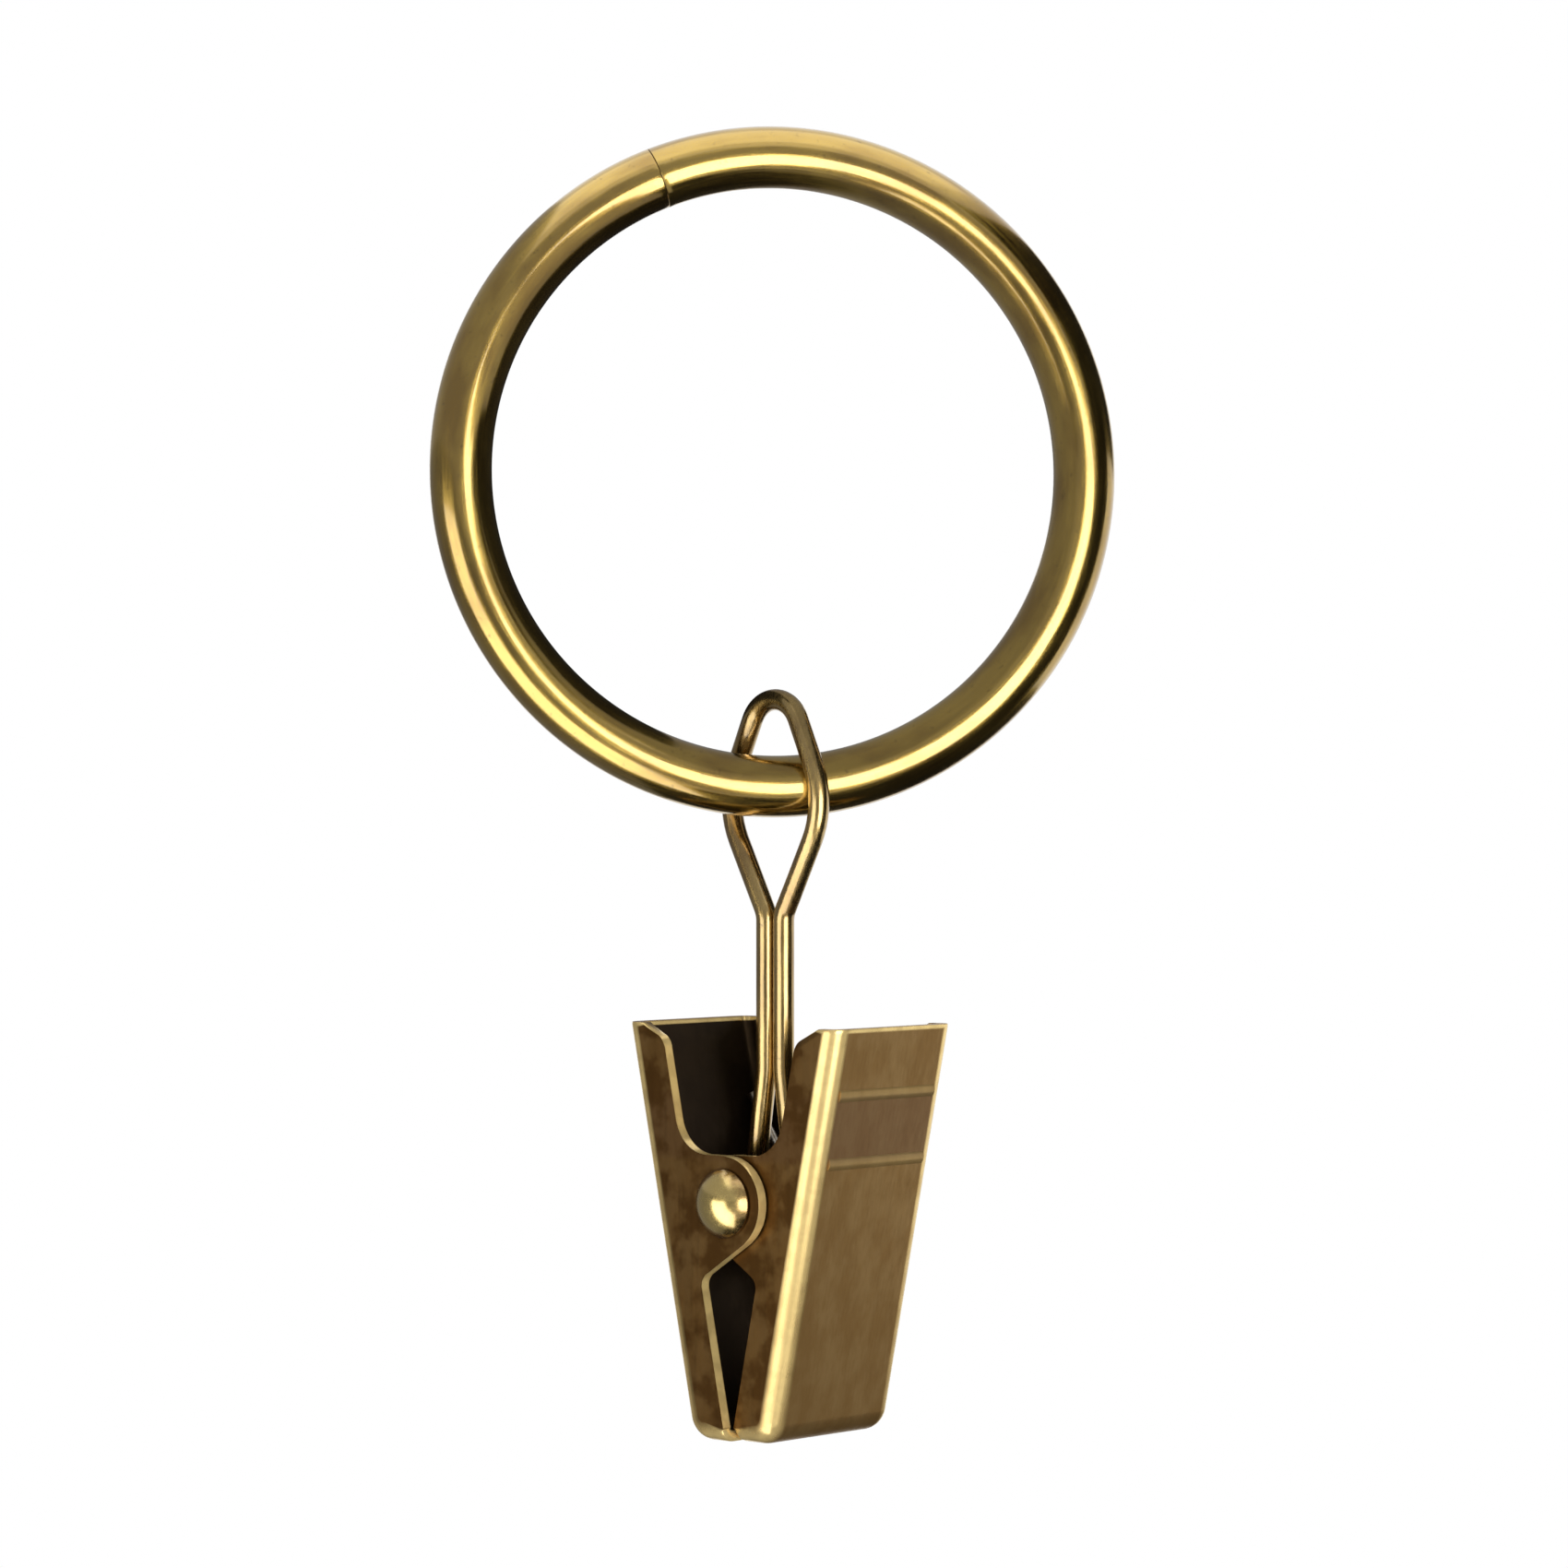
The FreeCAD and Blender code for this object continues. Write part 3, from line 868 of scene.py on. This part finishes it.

# %% [markdown]
# ## Jaw finish
#
# The sheet is browner and duller than the wire, and brushed along the levers. The band between the two
# ribs stays more tarnished. One vertex attribute paints shade: on the flanges, in patches, and darkest
# in the hollow, which is partly tarnished too. Folds and cut edges are painted bright, partly as wear and
# partly as a painted highlight, so the other attribute leads there to a paler, glossier brass, broken up
# by noise so that the bright rubbed colour looks uneven.

# %% Jaw finish
SHEET_DARK = (0.315, 0.178, 0.055, 1)
SHEET_LIGHT = (0.375, 0.228, 0.082, 1)
STREAK_BROWN = (0.18, 0.096, 0.026, 1)
BAND_BROWN = (0.2, 0.11, 0.06, 1)
# Painted shade: the flanges, and the hollow darkest, where it is partly tarnish.
FLANGE_SHADE_BROWN = (0.075, 0.032, 0.005, 1)
HOLLOW_SHADE_BROWN = (0.03, 0.02, 0.011, 1)
# Painted highlight and wear: the pale brass of folds, cut edges and ribs.
RUBBED_AND_HIGHLIT_BRASS = (0.93, 0.69, 0.28, 1)
BAND_STRENGTH = 0.5
OXIDE_METALLIC = 0.8
OXIDE_SPECULAR = 0.2
RUBBED_METALLIC = 0.5
RUBBED_ROUGHNESS = 0.2


def sheet_brass(name):
    """Brushed sheet: painted shade on flanges, shade and tarnish in the hollow, folds and cut edges bright
    as wear and painted highlight.
    """
    material, tree, shader = new_finish(name, 0.0)
    shader.inputs["Specular IOR Level"].default_value = OXIDE_SPECULAR
    place = clip_coordinates(tree)
    height = add_node(tree, "ShaderNodeSeparateXYZ", {"Vector": place}).outputs["Z"]
    blots = noise(tree, stretched(tree, place, (1, 1, 0.6)), scale=0.6, detail=4.0)
    clouds = ramp(tree, blots, 0.35, 0.65)
    streaks = noise(tree, stretched(tree, place, (1, 1, 0.045)), scale=5.0, detail=5.0)
    color = tint(tree, clouds, SHEET_DARK, SHEET_LIGHT)
    color = tint(tree, ramp(tree, streaks, 0.42, 0.7, 0.0, 0.12), color, STREAK_BROWN)

    lean = math.cos(math.radians(JAW_LEAN))
    low, high = (rib * lean for rib in RIB_HEIGHTS)
    above = ramp(tree, height, low - 0.2, low + 0.3)
    below = ramp(tree, height, high - 0.3, high + 0.2, 1.0, 0.0)
    band = math_node(tree, "MULTIPLY", above, below)
    color = tint(tree, math_node(tree, "MULTIPLY", band, BAND_STRENGTH), color, BAND_BROWN)

    # Painted shade: flanges darker in patches, and the hollow darkest, where it is partly tarnish.
    shade_and_tarnish = add_node(tree, "ShaderNodeAttribute", {}, attribute_name="shade_and_tarnish").outputs["Fac"]
    patches = ramp(tree, noise(tree, place, scale=0.5, detail=3.0), 0.4, 0.6, 0.7, 0.97)
    light = math_node(tree, "MULTIPLY", ramp(tree, shade_and_tarnish, 0.0, FLANGE_SHADE), patches)
    color = tint(tree, light, color, FLANGE_SHADE_BROWN)
    hollow_shade = ramp(tree, shade_and_tarnish, FLANGE_SHADE, 1.0, 0.0, 0.9)
    color = tint(tree, hollow_shade, color, HOLLOW_SHADE_BROWN)

    # Painted highlight and wear: folds, cut edges and ribs turn to a paler, glossier, less metallic brass.
    polish_and_highlight = add_node(tree, "ShaderNodeAttribute", {}, attribute_name="polish_and_highlight").outputs["Fac"]
    uneven = ramp(tree, noise(tree, place, scale=0.9, detail=2.0), 0.35, 0.6, 0.8, 1.0)
    rubbed = math_node(tree, "MULTIPLY", polish_and_highlight, uneven)
    color = tint(tree, rubbed, color, RUBBED_AND_HIGHLIT_BRASS)
    tree.links.new(color, shader.inputs["Base Color"])

    dull = grain(tree, shader, streaks, gloss=0.34, matt=0.46, depth=0.006)
    tree.links.new(mix(tree, rubbed, dull, RUBBED_ROUGHNESS), shader.inputs["Roughness"])
    metal = mix(tree, rubbed, OXIDE_METALLIC, RUBBED_METALLIC)
    tree.links.new(metal, shader.inputs["Metallic"])
    return material


jaw_brass = sheet_brass("jaw_brass")
right_jaw.data.materials.append(jaw_brass)
left_jaw.data.materials.append(jaw_brass)
print("finish:", jaw_brass.name)

# %% [markdown]
# ## Rivet and spring finish
#
# The rivet's dome is bright and turns browner towards its rim, so its colour follows the distance from
# the rivet's axis. The spring is drawn steel wire, greyer and darker.

# %% Rivet and spring finishes
DOME_BRIGHT = (0.76, 0.56, 0.19, 1)
FOOT_BROWN = (0.36, 0.22, 0.07, 1)
FOOT_FROM = 1.75
FOOT_TO = 2.5
RIVET_LACQUER = 0.6
STEEL_BARE = (0.42, 0.4, 0.36, 1)
STEEL_FILM = (0.2, 0.17, 0.13, 1)


def dome_brass(name):
    """Bright dome that turns browner towards its rim."""
    material, tree, shader = new_finish(name, RIVET_LACQUER)
    place = clip_coordinates(tree)
    x, _, z = add_node(tree, "ShaderNodeSeparateXYZ", {"Vector": place}).outputs
    flat = add_node(tree, "ShaderNodeCombineXYZ", {"X": x, "Z": z}).outputs[0]
    reach = add_node(tree, "ShaderNodeVectorMath", {0: flat}, operation="LENGTH").outputs["Value"]
    blots = noise(tree, place, scale=1.4, detail=4.0)
    foot = ramp(tree, math_node(tree, "ADD", reach, blots), FOOT_FROM, FOOT_TO)
    color = tint(tree, foot, DOME_BRIGHT, FOOT_BROWN)
    tree.links.new(color, shader.inputs["Base Color"])
    grit = noise(tree, place, scale=5.0, detail=4.0)
    roughness = grain(tree, shader, grit, gloss=0.2, matt=0.28, depth=0.006)
    tree.links.new(roughness, shader.inputs["Roughness"])
    return material


def spring_wire_steel(name):
    """Drawn steel wire with a thin brown film."""
    material, tree, shader = new_finish(name, 0.0)
    place = clip_coordinates(tree)
    film = ramp(tree, noise(tree, place, scale=0.9, detail=4.0), 0.35, 0.65)
    color = tint(tree, film, STEEL_BARE, STEEL_FILM)
    tree.links.new(color, shader.inputs["Base Color"])
    grit = noise(tree, place, scale=6.0, detail=4.0)
    roughness = grain(tree, shader, grit, gloss=0.24, matt=0.38, depth=0.01)
    tree.links.new(roughness, shader.inputs["Roughness"])
    return material


rivet_brass = dome_brass("rivet_brass")
spring_steel = spring_wire_steel("spring_steel")
rivet.data.materials.append(rivet_brass)
spring.data.materials.append(spring_steel)
print("finishes:", rivet_brass.name, spring_steel.name)

# %% [markdown]
# ## Camera
#
# The picture is a square of 1700 pixels, and the part fills the middle 740 of them, so a lens of 48 mm
# is lengthened by that ratio. The camera is level and stands a little to the left of the ring's axis.

# %% Camera
PHOTO_LENS = 48.0
PHOTO_SIDE = 1700
FRAMED_SIDE = 740
CAMERA_AZIMUTH = -8.0
CAMERA_DISTANCE = 271.0
CAMERA_HEIGHT = -17.6
CAMERA_RIGHT = 0.5
NEAR_CLIP = 10.0

camera_turn = math.radians(CAMERA_AZIMUTH)
to_camera = Vector((math.sin(camera_turn), -math.cos(camera_turn), 0))
to_right = Vector((math.cos(camera_turn), math.sin(camera_turn), 0))


def add_camera():
    """Level camera at the picture's angle."""
    data = bpy.data.cameras.new("camera")
    data.lens = PHOTO_LENS * PHOTO_SIDE / FRAMED_SIDE
    data.clip_start = NEAR_CLIP * MM
    camera = bpy.data.objects.new("camera", data)
    camera.location = (to_camera * CAMERA_DISTANCE + to_right * CAMERA_RIGHT + UP * CAMERA_HEIGHT) * MM
    camera.rotation_euler = (math.pi / 2, 0, camera_turn)
    bpy.context.scene.collection.objects.link(camera)
    bpy.context.scene.camera = camera
    return camera


print("lens", round(add_camera().data.lens, 1), "mm")

# %% [markdown]
# ## Studio
#
# Polished metal has hardly a look of its own: it shows the room. Each place on the round wire mirrors one
# direction, given here by the degrees off the camera's axis and by a clock angle round that axis, from 0
# at the right to 90 at the top. A soft lamp next to the camera draws the bright line along the wire. A
# dark flag at the right and below blackens the outer edge there. Grey screens in front and at the left
# keep the middle tones, two bright strips at the left and the top draw pale lines, and a screen far round
# to the right lights the broad plate of the clip. The inner side of the wire mirrors what stands inside
# the ring, so four poles are put there, two dark and two grey. Screens and poles show in reflections only.
#
# A screen is a piece of a sphere round the part, made by spinning a point to an arc and the arc to a
# patch. A pole is a cone with two equal ends.

# %% Helpers for shapes that only reflections see
def emission(name, level):
    """Material that shines with an even grey."""
    material = bpy.data.materials.new(name)
    material.use_nodes = True
    tree = material.node_tree
    tree.nodes.clear()
    light = add_node(tree, "ShaderNodeEmission", {"Color": (level, level, level, 1)})
    add_node(tree, "ShaderNodeOutputMaterial", {"Surface": light.outputs[0]})
    return material


def stage_reflection(name, bm, level):
    """Put a shape on the stage that only reflections see."""
    bmesh.ops.transform(bm, matrix=to_metres, verts=bm.verts)
    mesh = bpy.data.meshes.new(name)
    bm.to_mesh(mesh)
    bm.free()
    mesh.materials.append(emission(name, level))
    shape = bpy.data.objects.new(name, mesh)
    bpy.context.scene.collection.objects.link(shape)
    shape.visible_camera = False
    shape.visible_diffuse = False
    shape.visible_shadow = False
    shape.visible_transmission = False
    return shape


# %% Helpers for screens and poles
STAGE_CENTRE = Vector((0, 0, -15))
ARC_STEPS = 12
PATCH_STEPS = 36
POLE_SIDES = 48


def add_screen(name, near, far, clock_from, clock_to, level, radius):
    """Patch of a sphere, from near to far degrees off the camera's axis, between two clock angles."""
    bm = bmesh.new()
    pen = bmesh.ops.create_vert(bm, co=to_camera * radius)["vert"]
    start = Matrix.Rotation(math.radians(clock_from), 3, to_camera) @ to_right
    hinge = to_camera.cross(start)
    bmesh.ops.rotate(bm, verts=pen, cent=CENTRE, matrix=Matrix.Rotation(math.radians(near), 3, hinge))
    bmesh.ops.spin(bm, geom=pen, axis=hinge, angle=math.radians(far - near), steps=ARC_STEPS)
    sweep = math.radians(clock_to - clock_from)
    bmesh.ops.spin(bm, geom=bm.edges[:], axis=to_camera, angle=sweep, steps=PATCH_STEPS)
    bmesh.ops.translate(bm, verts=bm.verts, vec=STAGE_CENTRE)
    return stage_reflection(name, bm, level)


def add_pole(name, centre, radius, front, back, level):
    """Pole inside the ring, along the ring's axis, from y = front to y = back."""
    bm = bmesh.new()
    along = Matrix.Rotation(math.pi / 2, 4, "X")
    bmesh.ops.create_cone(
        bm, cap_ends=True, segments=POLE_SIDES, radius1=radius, radius2=radius, depth=back - front,
        matrix=along,
    )
    middle = Vector((centre[0], (front + back) / 2, centre[1]))
    bmesh.ops.translate(bm, verts=bm.verts, vec=middle)
    return stage_reflection(name, bm, level)


# %% Poles and screens
STAGE_RADIUS = 250.0
NEARER_RADIUS = 245.0

# name, centre across and up, radius, front and back, level
POLES = (
    ("dark_pole", (-4, 4), 6.5, -7, 140, 0.02),
    ("soft_pole", (4, -4), 6.5, -12.5, 140, 0.27),
    ("grey_pole", (-7.6, 7.2), 5.3, -18, -3, 0.42),
    ("low_pole", (-7.4, -7.4), 5.0, -2, 140, 0.02),
)
# name, degrees off axis from and to, clock from and to, level, distance
SCREENS = (
    ("dark_flag", 46, 140, -118, 48, 0.02, STAGE_RADIUS),
    ("right_screen", 97, 140, -30, 10, 1.0, NEARER_RADIUS),
    ("upper_screen", 0, 150, 122, 168, 0.36, STAGE_RADIUS),
    ("left_screen", 0, 150, 168, 250, 0.2, STAGE_RADIUS),
    ("front_screen", 0, 44, -110, 128, 0.4, STAGE_RADIUS),
    ("left_strip", 32, 72, 180, 266, 2.8, NEARER_RADIUS),
    ("top_strip", 58, 110, 55, 122, 1.5, NEARER_RADIUS),
)

for pole in POLES:
    add_pole(*pole)
for screen in SCREENS:
    add_screen(*screen)
print(len(POLES), "poles and", len(SCREENS), "screens")

# %% Lamp
KEY_RIGHT = 25.0
KEY_DOWN = 9.0
KEY_DISTANCE = 235.0
KEY_WIDTH = 155.0
KEY_HEIGHT = 150.0
KEY_POWER = 0.33


def add_key():
    """Soft rectangle of light next to the camera, aimed at the part."""
    sideways = to_right * math.tan(math.radians(KEY_RIGHT))
    down = UP * math.tan(math.radians(KEY_DOWN))
    away = (to_camera + sideways - down).normalized()
    data = bpy.data.lights.new("key", "AREA")
    data.shape = "RECTANGLE"
    data.size = KEY_WIDTH * MM
    data.size_y = KEY_HEIGHT * MM
    data.energy = KEY_POWER
    key = bpy.data.objects.new("key", data)
    key.location = (STAGE_CENTRE + away * KEY_DISTANCE) * MM
    key.rotation_euler = away.to_track_quat("Z", "Y").to_euler()
    key.visible_camera = False
    bpy.context.scene.collection.objects.link(key)
    return key


print("key lamp at", [round(value, 3) for value in add_key().location])

# %% [markdown]
# ## Room and floor
#
# The world is white to the camera and to reflections, and a plain soft light to everything else. The
# floor lies well below the hanging part. It is pale and matt near the middle, where a shadow can fall,
# and turns into the same white as the room further out, so that no horizon shows.

# %% Room and floor
ROOM_LIGHT = 0.6
FLOOR_HEIGHT = -300.0
FLOOR_RADIUS = 1500.0
FLOOR_SIDES = 96
FLOOR_COLOR = (0.9, 0.9, 0.89, 1)
FLOOR_ROUGHNESS = 0.9
FADE_FROM = 320.0
FADE_TO = 600.0
WHITE = (1, 1, 1, 1)


def seen_directly(tree):
    """One for rays that show the background: from the camera, in reflections and through glass."""
    rays = add_node(tree, "ShaderNodeLightPath", {}).outputs
    seen = math_node(tree, "MAXIMUM", rays["Is Camera Ray"], rays["Is Glossy Ray"])
    return math_node(tree, "MAXIMUM", seen, rays["Is Transmission Ray"])


def add_room():
    """White room."""
    world = bpy.data.worlds.new("room")
    bpy.context.scene.world = world
    world.use_nodes = True
    tree = world.node_tree
    background = tree.nodes["Background"]
    background.inputs["Color"].default_value = WHITE
    tree.links.new(ramp(tree, seen_directly(tree), 0, 1, ROOM_LIGHT, 1), background.inputs["Strength"])


def add_floor():
    """Round pale floor that fades to the white of the room."""
    material = bpy.data.materials.new("floor")
    material.use_nodes = True
    tree = material.node_tree
    matt = tree.nodes["Principled BSDF"]
    matt.inputs["Base Color"].default_value = FLOOR_COLOR
    matt.inputs["Roughness"].default_value = FLOOR_ROUGHNESS
    white = add_node(tree, "ShaderNodeEmission", {"Color": WHITE})
    source = add_node(tree, "ShaderNodeTexCoord", {}).outputs["Object"]
    reach = add_node(tree, "ShaderNodeVectorMath", {0: source}, operation="LENGTH").outputs["Value"]
    far = ramp(tree, reach, FADE_FROM * MM, FADE_TO * MM)
    fade = math_node(tree, "MULTIPLY", far, seen_directly(tree))
    inputs = {0: fade, 1: matt.outputs[0], 2: white.outputs[0]}
    mixed = add_node(tree, "ShaderNodeMixShader", inputs)
    tree.links.new(mixed.outputs[0], tree.nodes["Material Output"].inputs["Surface"])
    bm = bmesh.new()
    bmesh.ops.create_circle(bm, cap_ends=True, segments=FLOOR_SIDES, radius=FLOOR_RADIUS * MM)
    bmesh.ops.translate(bm, verts=bm.verts, vec=(0, 0, FLOOR_HEIGHT * MM))
    mesh = bpy.data.meshes.new("floor")
    bm.to_mesh(mesh)
    bm.free()
    mesh.materials.append(material)
    floor = bpy.data.objects.new("floor", mesh)
    bpy.context.scene.collection.objects.link(floor)


add_room()
add_floor()
bpy.context.scene.view_settings.view_transform = "Standard"
print("floor", -FLOOR_HEIGHT, "mm below the middle of the ring")
